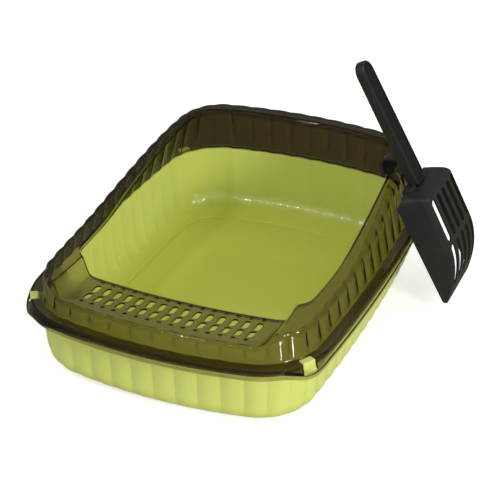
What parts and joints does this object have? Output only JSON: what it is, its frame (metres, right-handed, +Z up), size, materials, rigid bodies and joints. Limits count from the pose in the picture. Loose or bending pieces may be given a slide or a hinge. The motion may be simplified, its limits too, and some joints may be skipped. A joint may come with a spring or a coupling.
{
  "type": "semi-enclosed litter box",
  "caption": "Open-topped cat litter tray with a raised see-through surround, a perforated entry ledge and a slotted scoop hooked on its side.",
  "frame": {"origin": "on the ground under the middle of the tray", "axes": "+Z up, -Y towards the low entry side with the perforated ledge, +X towards the side where the scoop hangs"},
  "size_m": [0.422, 0.4952, 0.28],
  "materials": {
    "tray": "satin lime moulded plastic",
    "surround": "glossy see-through smoky brown plastic",
    "scoop_handle": "fine-textured black plastic",
    "scoop_pan": "fine-textured black plastic"
  },
  "bodies": {
    "base": {"tray": "tray"},
    "splash_guard": {"surround": "surround"},
    "scoop": {"scoop_handle": "scoop_handle", "scoop_pan": "scoop_pan"}
  },
  "joints": [
    {"name": "surround_lift", "type": "slide", "parent": "base", "child": "splash_guard", "axis": [0, 0, 1], "range_m": [0, 0.12]},
    {"name": "scoop_lift", "type": "slide", "parent": "splash_guard", "child": "scoop", "axis": [0, 0, 1], "range_m": [0, 0.06]}
  ]
}
